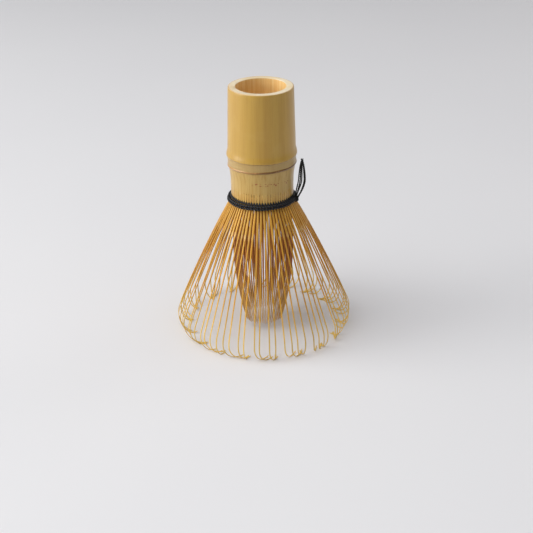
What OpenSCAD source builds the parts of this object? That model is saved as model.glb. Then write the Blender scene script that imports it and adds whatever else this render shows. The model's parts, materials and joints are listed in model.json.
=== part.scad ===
// Bamboo tea whisk. It stands on its tine tips, handle up, with its axis on Z.
// The handle, the tine roots and all the tines are cut from one culm; a thread binds the roots.

/* [Handle] */
// Length of the handle, from the binding up to the cut rim
handle_len = 45.9; // [36:0.1:56]
// Outer diameter at the cut rim
rim_d = 25.5; // [21:0.1:31]
// Thickness of the wall at the cut rim
wall_t = 2.9; // [2:0.05:4]
// How much narrower the waist is than the rim, measured on the radius
waist_in = 0.3; // [0:0.05:0.6]
// Depth of the hollow, from the rim down to the diaphragm
bore_depth = 27.1; // [20:0.1:34]
// Thickness of the diaphragm that closes the hollow at the node
diaphragm_t = 3; // [1:0.1:3.6]
// Height by which the swelling above the node stands proud
swelling_h = 0.45; // [0.1:0.05:1]
// Height by which the sheath scar below the node stands proud
scar_h = 0.45; // [0.1:0.05:1]
// Bevel round the cut rim
rim_bevel = 0.3; // [0.1:0.05:0.5]

/* [Tine head] */
// Height of the head, from the tine tips up to the binding
head_h = 56.7; // [46:0.1:72]
// Number of outer tines, and of inner tines
tine_count = 72; // [64, 72]
// Width of the slit between two tine roots
slit_w = 0.2; // [0.15:0.01:0.3]

/* [Outer tines] */
// Radius of the head where it bulges most
spread_r = 35.9; // [28:0.1:44]
// Distance from the binding down to the knee, where the skin is cut away and the tine narrows
knee_drop = 10.6; // [6:0.1:20]
// Width of an outer tine just below its knee
knee_w = 0.66; // [0.5:0.01:0.8]
// Width of an outer tine at its tip
tine_tip_w = 0.44; // [0.3:0.01:0.6]
// Thickness of an outer tine at its root
tine_t = 0.6; // [0.4:0.01:0.75]
// Thickness of an outer tine at its tip
tine_tip_t = 0.3; // [0.2:0.01:0.4]
// Lean of the tine, from the vertical, where it enters the bulge
bulge_lean = 22.5; // [15:0.5:26]
// Radius of the curve that forms the bulge
bulge_r = 9; // [6:0.1:12]
// Radius of the hook at the tip
hook_r = 3; // [2:0.1:4]

/* [Inner tines] */
// Radius of the inner tines where they belly out
belly_r = 12; // [11:0.1:14]
// Distance from the binding down to that belly
belly_drop = 20.6; // [12:0.1:30]
// Radius that the inner tines gather to at their tips
bundle_r = 7.4; // [5.2:0.1:10]
// Width of an inner tine at its root
inner_w = 0.66; // [0.3:0.01:0.7]
// Width of an inner tine at its tip
inner_tip_w = 0.28; // [0.2:0.01:0.3]
// Thickness of an inner tine
inner_t = 0.34; // [0.2:0.01:0.4]
// Height of the inner tips above the outer ones
inner_lift = 2.4; // [1:0.1:6]

/* [Thread] */
// Diameter of the round thread in the binding
thread_d = 0.86; // [0.6:0.01:1]
// Thickness of the thread where the weave squeezes it flat
weave_t = 0.34; // [0.2:0.01:0.4]
// Height of the weave
weave_h = 1.8; // [1:0.1:2]
// Turns of the binding
binding_turns = 2; // [1:1:3]
// Diameter of one strand of the tail
strand_d = 0.34; // [0.3:0.01:0.5]
// Angle of the knot round the axis, from the +X side
knot_turn = -14; // [-60:1:60]

/* [Clearances] */
// Gap between a thread and what it binds
thread_gap = 0.03; // [0.02:0.01:0.05]
// Gap that a tine leaves above its root, so that it can flex
flex_gap = 0.1; // [0.1:0.01:0.3]

/* [Hidden] */
$fn = 96;
bind_z = head_h;
rim_z = head_h + handle_len;
bore_r = rim_d / 2 - wall_t;
waist_r = rim_d / 2 - waist_in;
pitch = 360 / tine_count;

// Tines that flex together
OUTER_PER_SECTOR = 4;
INNER_PER_SECTOR = 8;
outer_sectors = tine_count / OUTER_PER_SECTOR;
inner_sectors = tine_count / INNER_PER_SECTOR;

// The node: how far the swelling, the groove and the scar lie under the rim
swelling_drop = bore_depth;
groove_drop = swelling_drop + 2.5;
scar_drop = swelling_drop + 4.4;
swelling_len = 1.6;
scar_len = 0.8;
flare_len = 4.5;
flare_h = 0.95;
upper_flare = 0.74;
diaphragm_z = rim_z - bore_depth;

// The tine roots: a skirt that hangs from the wall and turns outwards at the binding
wall_z = bind_z + 3;
bend_z = bind_z + 1.5;
bend_r = 6;
root_lean = 26;
root_z = bend_z - bend_r * sin(root_lean);
slit_narrows_z = bend_z + 0.35;
slit_top = wall_z + 1.4;
slit_ragged = 1;

// The middle line of the outer tines, at the roots and at the start of the flexing part
skirt_r = waist_r - tine_t / 2;
root_r = skirt_r + bend_r * (1 - cos(root_lean));
hinge_z = root_z - flex_gap;
tine_w = 2 * PI * skirt_r / tine_count - slit_w;

// The inner tines hang from the wall's lower edge, with room to flex before they meet the thread
inner_play = 0.7;
inner_root_r = skirt_r - tine_t / 2 - thread_gap - weave_t - inner_play - inner_t / 2;
inner_top_z = wall_z - flex_gap;

// The hollow under the diaphragm
low_hollow_r = inner_root_r - 0.6;

function clamp01(t) = max(0, min(1, t));
function ease(t) = t * t * (3 - 2 * t);
function bell(x, width) = exp(-x * x / (width * width));

// A number from -1 to 1 that looks random but is always the same for the same n
function scatter(n) = 2 * (abs(sin(n * 137.508) * 43.7585) % 1) - 1;

// --- Handle ---

// Outer radius of the culm at a distance d under the rim
function culm_upper(d) = rim_d / 2 + upper_flare * d / swelling_drop;
function culm_lower(d) = waist_r + flare_h * bell(d - groove_drop, flare_len);
function culm_bumps(d) =
    swelling_h * bell(d - swelling_drop, swelling_len) + scar_h * bell(d - scar_drop, scar_len);
function below_node(d) = ease(clamp01((d - swelling_drop - 0.5) / 2.5));
function culm_r(d) =
    culm_upper(d) * (1 - below_node(d)) + culm_lower(d) * below_node(d) + culm_bumps(d);

// Middle line of a tine root: straight down, then turning outwards through an arc
function root_mid(a) = [skirt_r + bend_r * (1 - cos(a)), bend_z - bend_r * sin(a)];
function beside(p, a, half) = p + half * [cos(a), sin(a)];

ROOT_STEPS = 6;
ROOT_ANGLES = [for (i = [0:ROOT_STEPS]) root_lean * i / ROOT_STEPS];
UPPER_DROPS = [for (i = [0:8]) rim_bevel + (swelling_drop - 5 - rim_bevel) * i / 8];
NODE_DROPS = [for (d = [swelling_drop - 4:0.5:scar_drop + 6]) d];

module handle_profile() {
    outside = concat(
        [for (a = ROOT_ANGLES) beside(root_mid(root_lean - a), root_lean - a, tine_t / 2)],
        [for (i = [len(NODE_DROPS) - 1:-1:0]) [culm_r(NODE_DROPS[i]), rim_z - NODE_DROPS[i]]],
        [for (i = [len(UPPER_DROPS) - 1:-1:0]) [culm_r(UPPER_DROPS[i]), rim_z - UPPER_DROPS[i]]]
    );
    inside = concat(
        [[rim_d / 2 - rim_bevel, rim_z], [bore_r, rim_z], [bore_r, diaphragm_z], [0, diaphragm_z]],
        [[0, diaphragm_z - diaphragm_t], [low_hollow_r - 0.5, diaphragm_z - diaphragm_t]],
        [[low_hollow_r, diaphragm_z - diaphragm_t - 1], [low_hollow_r, wall_z]],
        [[skirt_r - tine_t / 2, wall_z]],
        [for (a = ROOT_ANGLES) beside(root_mid(a), a, -tine_t / 2)]
    );
    polygon(concat(outside, inside));
}

// One slit between two roots: parallel through the binding, then running out to a point
module slit(n) {
    top = slit_top + slit_ragged * scatter(n);
    rotate([90, 0, 90])
        translate([0, 0, skirt_r - tine_t])
            linear_extrude(height = 3 * tine_t + 2)
                polygon([
                    [-slit_w / 2, root_z - 1],
                    [slit_w / 2, root_z - 1],
                    [slit_w / 2, slit_narrows_z],
                    [0, top],
                    [-slit_w / 2, slit_narrows_z]
                ]);
}

module handle() {
    color("#c8a662")
        difference() {
            rotate([0, 0, pitch / 2]) rotate_extrude() handle_profile();
            for (n = [0:tine_count - 1])
                rotate([0, 0, n * pitch]) slit(n);
        }
}

// --- Outer tines ---

// The middle line is a long shallow arc, the bulge's arc and the hook's arc, each running into the next.
// Leans are measured from straight down, outwards. BULGE_END is the lean where the hook takes over.
BULGE_END = -30;
HOOK_END = -125;
LONG_STEPS = 7;
BULGE_STEPS = 5;
HOOK_STEPS = 6;

bulge_top_z = bulge_r * (sin(bulge_lean) - sin(BULGE_END)) + hook_r * (1 + sin(BULGE_END)) + tine_tip_t / 2;
bulge_top_r = spread_r - tine_tip_t / 2 - bulge_r * (1 - cos(bulge_lean));

// From a point, follow an arc of radius r from lean a to lean b
function along_arc(p, r, a, b) = p + r * [cos(b) - cos(a), sin(b) - sin(a)];
function arc_points(p, r, a, b, steps) =
    [for (i = [0:steps]) along_arc(p, r, a, a + (b - a) * i / steps)];
function arc_leans(a, b, steps) = [for (i = [0:steps]) a + (b - a) * i / steps];

// An arc from p to q that arrives with lean b: its start lean and its radius follow
function chord_lean(p, q) = atan2(q[0] - p[0], p[1] - q[1]);
function start_lean(p, q, b) = 2 * chord_lean(p, q) - b;
function chord_arc_r(p, q, b) = norm(q - p) / (2 * sin(start_lean(p, q, b) - chord_lean(p, q)));

function without_first(v) = [for (i = [1:len(v) - 1]) v[i]];

function tine_leans(p, q) = concat(
    arc_leans(start_lean(p, q, bulge_lean), bulge_lean, LONG_STEPS),
    without_first(arc_leans(bulge_lean, BULGE_END, BULGE_STEPS)),
    without_first(arc_leans(BULGE_END, HOOK_END, HOOK_STEPS))
);
function tine_mid(p, q) =
    let (bulge_end = along_arc(q, bulge_r, bulge_lean, BULGE_END))
    concat(
        arc_points(p, chord_arc_r(p, q, bulge_lean), start_lean(p, q, bulge_lean), bulge_lean, LONG_STEPS),
        without_first(arc_points(q, bulge_r, bulge_lean, BULGE_END, BULGE_STEPS)),
        without_first(arc_points(bulge_end, hook_r, BULGE_END, HOOK_END, HOOK_STEPS))
    );

// A strip of the given thicknesses along a middle line
module strip(mid, leans, t_start, t_end) {
    last = len(mid) - 1;
    thick = [for (i = [0:last]) t_start + (t_end - t_start) * clamp01(i / LONG_STEPS)];
    polygon(concat(
        [for (i = [0:last]) beside(mid[i], leans[i], thick[i] / 2)],
        [for (i = [last:-1:0]) beside(mid[i], leans[i], -thick[i] / 2)]
    ));
}

// A strip in the XZ plane, cut to the widths that the outline gives as [width, height], from the bottom up
module cut_to_width(outline, reach) {
    intersection() {
        rotate([90, 0, 0])
            linear_extrude(height = max([for (p = outline) p[0]]), center = true)
                children();
        rotate([90, 0, 90])
            linear_extrude(height = reach)
                polygon(concat(
                    [for (p = outline) [p[0] / 2, p[1]]],
                    [for (i = [len(outline) - 1:-1:0]) [-outline[i][0] / 2, outline[i][1]]]
                ));
    }
}

// Small differences from tine to tine; the four that set the head's width have none
function is_square_on(n) = n % (tine_count / 4) == 0;
function tine_out(n) = is_square_on(n) ? 0 : -0.45 + 0.45 * scatter(3 * n + 1);

// The tines at a sector's two edges lean towards its middle, so that sectors never meet when they flex
function place_in_sector(n) = n % OUTER_PER_SECTOR;
function tine_tilt(n) =
    place_in_sector(n) == 0 ? 0.45 + 0.45 * scatter(5 * n + 2)
    : place_in_sector(n) == OUTER_PER_SECTOR - 1 ? -0.45 - 0.45 * scatter(5 * n + 2)
    : 0.7 * scatter(5 * n + 2);

knee_z = bind_z - knee_drop;
knee_len = 1.2;
TINE_OUTLINE = [[tine_tip_w, -1], [knee_w, knee_z - knee_len], [tine_w, knee_z], [tine_w, bind_z]];

module outer_tine(n) {
    top = [root_r + flex_gap * tan(root_lean), hinge_z];
    bulge_top = [bulge_top_r + tine_out(n), bulge_top_z];
    translate([root_r, 0, hinge_z])
        rotate([tine_tilt(n), 0, 0])
            translate([-root_r, 0, -hinge_z])
                cut_to_width(TINE_OUTLINE, spread_r + 2)
                    strip(tine_mid(top, bulge_top), tine_leans(top, bulge_top), tine_t, tine_tip_t);
}

module outer_sector(s) {
    first = s * OUTER_PER_SECTOR;
    color("#d2a24c")
        for (n = [first:first + OUTER_PER_SECTOR - 1])
            rotate([0, 0, (n + 0.5) * pitch])
                outer_tine(n);
}

// --- Inner tines ---

INNER_STEPS = 5;
INNER_OUTLINE = [[inner_tip_w, 0], [inner_w, inner_top_z + 1]];

// Two arcs that are both upright at the belly
module inner_tine(n) {
    top = [inner_root_r, inner_top_z];
    belly = [belly_r + 0.15 * scatter(9 * n + 4), bind_z - belly_drop];
    tip = [bundle_r + 0.12 * scatter(7 * n + 3), inner_lift + 0.9 * abs(scatter(11 * n))];
    first_lean = start_lean(top, belly, 0);
    last_lean = 2 * chord_lean(belly, tip);
    mid = concat(
        arc_points(top, chord_arc_r(top, belly, 0), first_lean, 0, INNER_STEPS),
        without_first(arc_points(belly, chord_arc_r(belly, tip, last_lean), 0, last_lean, INNER_STEPS))
    );
    leans = concat(
        arc_leans(first_lean, 0, INNER_STEPS),
        without_first(arc_leans(0, last_lean, INNER_STEPS))
    );
    cut_to_width(INNER_OUTLINE, belly_r + 4)
        strip(mid, leans, inner_t, inner_t);
}

module inner_sector(s) {
    first = s * INNER_PER_SECTOR;
    color("#b98438")
        for (n = [first:first + INNER_PER_SECTOR - 1])
            rotate([0, 0, n * pitch])
                inner_tine(n);
}

// --- Thread ---

// Radii that the weave runs at in front of the roots and behind them
weave_low_z = bind_z - 0.4;
root_front_r = skirt_r + tine_t / 2 + bend_r * (1 - cos(asin((bend_z - weave_low_z) / bend_r))) + 0.05;
root_back_r = skirt_r - tine_t / 2;
front_in = root_front_r + thread_gap;
front_out = front_in + weave_t;
back_out = root_back_r - thread_gap;
back_in = back_out - weave_t;
link_half = slit_w / 2 - thread_gap / 2;

function polar(r, a) = [r * cos(a), r * sin(a)];
// A point beside the middle of slit n, at radius r and a signed distance off
function at_slit(n, r, off) = polar(r, n * pitch + asin(off / r));

// The thread lies before root n when n is even and behind it when n is odd
function weave_edge(n, front, back) = n % 2 == 0
    ? [at_slit(n, back, link_half * (front > front_in ? -1 : 1)),
       at_slit(n, front, link_half * (front > front_in ? -1 : 1)),
       polar(front, (n + 0.5) * pitch)]
    : [at_slit(n, front, link_half * (front > front_in ? 1 : -1)),
       at_slit(n, back, link_half * (front > front_in ? 1 : -1)),
       polar(back, (n + 0.5) * pitch)];

module weave_outline() {
    difference() {
        polygon([for (n = [0:tine_count - 1]) each weave_edge(n, front_out, back_out)]);
        polygon([for (n = [0:tine_count - 1]) each weave_edge(n, front_in, back_in)]);
    }
}

module thread_weave() {
    color("#23262e")
        translate([0, 0, weave_low_z])
            linear_extrude(height = weave_h)
                weave_outline();
}

// A round tube along a list of points, closed at both ends
function unit(v) = v / norm(v);
function heading(path, i) =
    unit(path[min(i + 1, len(path) - 1)] - path[max(i - 1, 0)]);
function ring(p, t, r, sides) =
    let (side = unit(cross(abs(t[2]) < 0.9 ? [0, 0, 1] : [1, 0, 0], t)), up = cross(t, side))
    [for (k = [0:sides - 1]) p + r * (cos(360 * k / sides) * side + sin(360 * k / sides) * up)];

module tube(path, d, sides) {
    rings = len(path);
    points = [for (i = [0:rings - 1]) each ring(path[i], heading(path, i), d / 2, sides)];
    sides_faces = [
        for (i = [0:rings - 2])
            for (k = [0:sides - 1])
                let (a = i * sides + k, b = i * sides + (k + 1) % sides)
                each [[a, b, b + sides], [a, b + sides, a + sides]]
    ];
    start = [[for (k = [sides - 1:-1:0]) k]];
    end = [[for (k = [0:sides - 1]) (rings - 1) * sides + k]];
    polyhedron(points = points, faces = concat(sides_faces, start, end));
}

TURN_STEPS = 48;
THREAD_SIDES = 8;
// Straight steps run inside their circle, so the circle is larger by that much
binding_r = (front_out + thread_gap + thread_d / 2) / cos(180 / TURN_STEPS);
binding_pitch = thread_d + thread_gap;
binding_low_z = bind_z - binding_pitch * binding_turns / 2;

// The binding winds round the roots from knot to knot
module thread_binding() {
    steps = TURN_STEPS * binding_turns;
    color("#1c1f27")
        tube(
            [for (i = [0:steps - 1])
                let (a = knot_turn + 360 * i / TURN_STEPS)
                [binding_r * cos(a), binding_r * sin(a), binding_low_z + binding_pitch * i / TURN_STEPS]],
            thread_d, THREAD_SIDES
        );
}

// The knot is drawn tight over the two ends of the binding
knot_size = 1.5 * thread_d;
knot_r = binding_r + thread_d / 2;

module thread_knot() {
    color("#1c1f27")
        rotate([0, 0, knot_turn])
            translate([knot_r, 0, bind_z])
                union() {
                    sphere(d = knot_size);
                    translate([0, 0.4 * knot_size, 0.35 * knot_size]) sphere(d = 0.8 * knot_size);
                    translate([0, -0.4 * knot_size, -0.35 * knot_size]) sphere(d = 0.8 * knot_size);
                }
}

// The strands bow outwards from the knot and come together again higher up
STRANDS = 6;
STRAND_RINGS = 16;
STRAND_SIDES = 6;
tail_h = 17.6;
tail_bow = 2.5;
tail_reach = 1.5;

// How far a strand stands off the middle of the tail, least at the knot and at the top
function strand_fan(t) = strand_d * (1.15 + 2.6 * sin(180 * t));
function strand_point(s, t) =
    let (turn = 360 * s / STRANDS + 40 * t, rise = tail_h * (1 - 0.12 * abs(scatter(13 * s))))
    [
        tail_bow * sin(165 * pow(t, 0.8)) + tail_reach * t + strand_fan(t) * cos(turn),
        strand_fan(t) * sin(turn),
        rise * t
    ];

module strand(s) {
    path = [for (i = [0:STRAND_RINGS - 1]) strand_point(s, i / (STRAND_RINGS - 1))];
    tube(path, strand_d, STRAND_SIDES);
}

module thread_tail() {
    color("#14161c")
        rotate([0, 0, knot_turn])
            translate([knot_r, 0, bind_z + knot_size / 4])
                for (s = [0:STRANDS - 1])
                    strand(s);
}

// --- Nodes ---

function two_digits(n) = n < 10 ? str("0", n) : str(n);
function outer_name(s) = str("outer_tines_", two_digits(s + 1));
function inner_name(s) = str("inner_tines_", two_digits(s + 1));

handle();
thread_weave();
thread_binding();
thread_knot();
thread_tail();
for (s = [0:outer_sectors - 1])
    outer_sector(s);
for (s = [0:inner_sectors - 1])
    inner_sector(s);
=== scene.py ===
import json
import math

import bmesh
import bpy
import numpy as np
from mathutils import Matrix, Vector


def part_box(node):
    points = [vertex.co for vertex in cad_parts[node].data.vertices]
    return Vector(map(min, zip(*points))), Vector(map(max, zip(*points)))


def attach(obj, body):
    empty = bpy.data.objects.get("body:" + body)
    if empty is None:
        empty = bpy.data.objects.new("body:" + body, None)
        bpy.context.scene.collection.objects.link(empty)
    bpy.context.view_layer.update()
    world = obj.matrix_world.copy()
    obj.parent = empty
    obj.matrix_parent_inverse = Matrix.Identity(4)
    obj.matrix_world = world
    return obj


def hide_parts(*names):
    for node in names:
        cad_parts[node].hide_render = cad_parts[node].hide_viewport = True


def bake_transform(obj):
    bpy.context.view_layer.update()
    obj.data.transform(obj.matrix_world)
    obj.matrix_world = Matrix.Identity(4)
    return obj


# The looks of the bamboo tea whisk. Lengths are in millimetres until mesh_piece() turns them into metres.
MM = 0.001

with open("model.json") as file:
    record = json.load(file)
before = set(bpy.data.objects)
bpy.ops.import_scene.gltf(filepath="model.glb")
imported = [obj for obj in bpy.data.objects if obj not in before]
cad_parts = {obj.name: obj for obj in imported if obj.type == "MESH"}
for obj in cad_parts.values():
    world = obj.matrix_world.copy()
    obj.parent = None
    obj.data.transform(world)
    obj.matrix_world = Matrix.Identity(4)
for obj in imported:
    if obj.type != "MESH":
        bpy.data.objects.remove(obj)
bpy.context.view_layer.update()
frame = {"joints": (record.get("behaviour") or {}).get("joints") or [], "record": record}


def node_box(name):
    """Lowest and highest corner of a CAD node, in millimetres."""
    low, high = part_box(name)
    return np.array(low) / MM, np.array(high) / MM


def joint_named(name):
    """The frame's joint of that name."""
    return next(j for j in frame["joints"] if j["name"] == name)


# --- Counts ---

TINES = 72
PITCH = 360 / TINES
OUTER_PER_SECTOR = 4
INNER_PER_SECTOR = 8
OUTER_SECTORS = TINES // OUTER_PER_SECTOR
INNER_SECTORS = TINES // INNER_PER_SECTOR

# --- Sizes that the frame gives ---

MOUNTS = {mount["name"]: mount for mount in frame["record"]["mounts"]}
BORE_R = MOUNTS["handle_bore"]["dims"]["r_mm"]
BORE_DEPTH = MOUNTS["handle_bore"]["dims"]["length_mm"]
RIM_MIDDLE_R = MOUNTS["handle_rim"]["pos_m"][0] / MM
RIM_R = 2 * RIM_MIDDLE_R - BORE_R
RIM_Z = node_box("handle")[1][2]
WEAVE_LOW_Z = node_box("thread_weave")[0][2]
WEAVE_R = node_box("thread_weave")[1][0]
SPREAD_R = node_box("outer_tines_01")[1][0]
INNER_TIP_Z = min(node_box(f"inner_tines_{i + 1:02d}")[0][2] for i in range(INNER_SECTORS))
OUTER_HINGE_Z = joint_named("outer_flex_01")["pos_m"][2] / MM

# --- Sizes of the design ---

# The binding's middle, and the waist of the culm above it
BIND_Z = WEAVE_LOW_Z + 0.4
WAIST_R = RIM_R - 0.3

# The roots of the outer tines, which the slits part, and the bend that leads from a root into its tine
TINE_T = 0.6
SKIRT_R = WAIST_R - TINE_T / 2
SLIT_W = 0.2
ROOT_W = 2 * math.pi * SKIRT_R / TINES - SLIT_W
BEND_Z = BIND_Z + 1.5
BEND_R = 6
ROOT_LEAN = 26
ROOT_END_LEAN = 13
WALL_Z = BIND_Z + 3
SLIT_NARROWS_Z = BEND_Z + 0.35
SLIT_TOP_Z = WALL_Z + 1.4

# The node: the diaphragm inside, and the swelling, the lip, the groove and the scar outside
DIAPHRAGM_T = 3
LOW_HOLLOW_R = 10.0
TAPER = 0.74
SWELLING_DROP = BORE_DEPTH
SWELLING_H = 0.45
WAIST_FLARE = 0.95
WAIST_FLARE_DROP = SWELLING_DROP + 2.5
GROOVE_H = -0.09
SCAR_UNDER_LIP = 4.2
SCAR_H = 0.36

# Where the knot is, in degrees round the axis
KNOT_TURN = -14


def scatter(n):
    """A number from -1 to 1 that looks random, the same each time for the same n."""
    return 2 * (abs(math.sin(math.radians(n * 137.508)) * 43.7585) % 1) - 1


def ease(t):
    """0 up to t = 0, 1 from t = 1 on, and smooth between them."""
    t = np.clip(t, 0, 1)
    return t * t * (3 - 2 * t)


def bell(x, width):
    """1 at x = 0, falling to nothing a few widths away."""
    return np.exp(-((x / width) ** 2))


def turned(points, degrees):
    """Points turned about the whisk's axis."""
    c, s = math.cos(math.radians(degrees)), math.sin(math.radians(degrees))
    points = np.asarray(points, float)
    x, y, z = points[..., 0], points[..., 1], points[..., 2]
    return np.stack([c * x - s * y, s * x + c * y, z], -1)


# --- Meshes ---

def mesh_piece(name, points, faces, material):
    """A smooth mesh object from points in millimetres."""
    mesh = bpy.data.meshes.new(name)
    mesh.from_pydata((np.asarray(points, float) * MM).tolist(), [], faces)
    mesh.shade_smooth()
    mesh.materials.append(material)
    piece = bpy.data.objects.new(name, mesh)
    bpy.context.scene.collection.objects.link(piece)
    return piece


def merge_points(piece, sharp):
    """Joins the points that lie on each other, and keeps the edges sharper than `sharp` degrees."""
    bm = bmesh.new()
    bm.from_mesh(piece.data)
    bmesh.ops.remove_doubles(bm, verts=bm.verts, dist=0.002 * MM)
    bmesh.ops.recalc_face_normals(bm, faces=bm.faces)
    bm.to_mesh(piece.data)
    bm.free()
    piece.data.set_sharp_from_angle(angle=math.radians(sharp))


def paint(piece, name, values):
    """A value for each vertex, or a vector for each, that the materials read."""
    values = np.asarray(values, np.float32)
    kind = "FLOAT" if values.ndim == 1 else "FLOAT_VECTOR"
    attribute = piece.data.attributes.new(name, kind, "POINT")
    attribute.data.foreach_set("value" if values.ndim == 1 else "vector", values.ravel())


def tube_faces(rings, sides, first=0, closed=False):
    """Quads between rings of points, with a cap at each end unless the tube is closed on itself."""
    faces = []
    for i in range(rings if closed else rings - 1):
        a, b = first + i * sides, first + ((i + 1) % rings) * sides
        for k in range(sides):
            m = (k + 1) % sides
            faces.append((a + k, a + m, b + m, b + k))
    if not closed:
        faces.append(tuple(first + k for k in range(sides - 1, -1, -1)))
        faces.append(tuple(first + (rings - 1) * sides + k for k in range(sides)))
    return faces


def headings(path, closed=False):
    """The path's direction at each of its points."""
    if closed:
        d = np.roll(path, -1, 0) - np.roll(path, 1, 0)
    else:
        d = np.gradient(path, axis=0)
    return d / np.linalg.norm(d, axis=1)[:, None]


def round_frames(path, closed=False):
    """Two directions square to the path at each point, carried along it without twisting."""
    t = headings(path, closed)
    side = np.zeros_like(path)
    s = np.cross(t[0], [0, 0, 1.0] if abs(t[0][2]) < 0.9 else [1.0, 0, 0])
    for i in range(len(path)):
        s = s - np.dot(s, t[i]) * t[i]
        s = s / np.linalg.norm(s)
        side[i] = s
    return side, np.cross(t, side)


def swept(path, side, up, across, height):
    """Points of a tube: at each point of the path, a section of across and height values."""
    sideways, upwards = side[:, None] * across[..., None], up[:, None] * height[..., None]
    return (path[:, None] + sideways + upwards).reshape(-1, 3)


# --- Materials ---

class Nodes:
    """Short names for the few shader nodes that the materials use."""

    def __init__(self, name):
        self.material = bpy.data.materials.new(name)
        self.material.use_nodes = True
        self.tree = self.material.node_tree
        self.shader = self.tree.nodes["Principled BSDF"]

    def add(self, kind, **inputs):
        """A new node. An input's name is written with _ for each space."""
        node = self.tree.nodes.new("ShaderNode" + kind)
        for name, value in inputs.items():
            self.feed(node, name.replace("_", " "), value)
        return node

    def feed(self, node, socket, value):
        """Sets an input, by its name or its place, to a value or to another node's output."""
        target = node.inputs[socket]
        if isinstance(value, bpy.types.NodeSocket):
            self.tree.links.new(value, target)
        else:
            target.default_value = value

    def attribute(self, name, vector=False):
        node = self.add("Attribute")
        node.attribute_name = name
        return node.outputs["Vector" if vector else "Fac"]

    def object_point(self):
        return self.add("TexCoord").outputs["Object"]

    def parts(self, vector):
        node = self.add("SeparateXYZ", Vector=vector)
        return node.outputs["X"], node.outputs["Y"], node.outputs["Z"]

    def scaled(self, vector, scale):
        node = self.add("Mapping", Vector=vector)
        node.inputs["Scale"].default_value = scale
        return node.outputs["Vector"]

    def noise(self, vector, scale, detail=3.0, rough=0.55):
        return self.add("TexNoise", Vector=vector, Scale=scale, Detail=detail, Roughness=rough).outputs["Fac"]

    def math(self, operation, a, b=0.0, c=0.0):
        node = self.tree.nodes.new("ShaderNodeMath")
        node.operation = operation
        for place, value in enumerate((a, b, c)):
            self.feed(node, place, value)
        return node.outputs[0]

    def times(self, a, b):
        return self.math("MULTIPLY", a, b)

    def span(self, value, low, high, to_low=0.0, to_high=1.0):
        """The value's place between low and high, smooth at both ends."""
        node = self.tree.nodes.new("ShaderNodeMapRange")
        node.interpolation_type = "SMOOTHSTEP"
        for place, number in enumerate((value, low, high, to_low, to_high)):
            self.feed(node, place, number)
        return node.outputs[0]

    def band(self, value, middle, half, soft):
        """1 where the value is within half of the middle, 0 outside, with soft edges."""
        off = self.math("ABSOLUTE", self.math("SUBTRACT", value, middle))
        return self.span(off, half, half + soft, 1.0, 0.0)

    def mix(self, share, a, b):
        """The colour a where the share is 0 and b where it is 1."""
        node = self.tree.nodes.new("ShaderNodeMix")
        node.data_type = "RGBA"
        # Inputs 6 and 7 and output 2 are this node's sockets for colours
        for place, value in ((0, share), (6, a), (7, b)):
            self.feed(node, place, value)
        return node.outputs[2]

    def bump(self, height, strength, distance_mm, normal=None):
        node = self.add("Bump", Height=height, Strength=strength, Distance=distance_mm * MM)
        if normal is not None:
            self.tree.links.new(normal, node.inputs["Normal"])
        return node.outputs["Normal"]

    def finish(self, **inputs):
        for name, value in inputs.items():
            self.feed(self.shader, name.replace("_", " "), value)
        return self.material


def rgb(red, green, blue):
    """A colour given as it shows on a screen, 0 to 255, as the shaders want it."""
    def linear(v):
        v = v / 255
        return v / 12.92 if v <= 0.04045 else ((v + 0.055) / 1.055) ** 2.4
    return (linear(red), linear(green), linear(blue), 1.0)


def skin_colour(n, z_mm, streaks, broad, cloudy):
    """Gold above the node, paler below it, and gold again on the roots, with painted shade of dark orange
    beside the slits.
    """
    gold = n.mix(n.span(broad, 0.3, 0.7), rgb(195, 155, 64), rgb(187, 145, 55))
    gold = n.mix(n.times(n.span(streaks, 0.45, 0.75), 0.35), gold, rgb(172, 126, 46))
    gold = n.mix(n.times(n.span(cloudy, 0.5, 0.75), 0.3), gold, rgb(202, 168, 88))
    below = n.mix(n.span(streaks, 0.35, 0.75), rgb(197, 163, 88), rgb(183, 143, 64))
    colour = n.mix(n.span(n.attribute("node_drop"), -0.1, 0.25), gold, below)
    gold_roots = n.mix(n.span(streaks, 0.4, 0.7), rgb(208, 168, 80), rgb(190, 142, 54))
    colour = n.mix(n.span(z_mm, BIND_Z + 6.9, BIND_Z + 2.4), colour, gold_roots)
    # Painted shade: a dark orange line along each slit's edges, fading above the slit's top
    slit_shade = n.times(n.attribute("slit"), n.span(streaks, 0.2, 0.6, 0.3, 0.85))
    return n.mix(slit_shade, colour, rgb(176, 118, 26))


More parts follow.
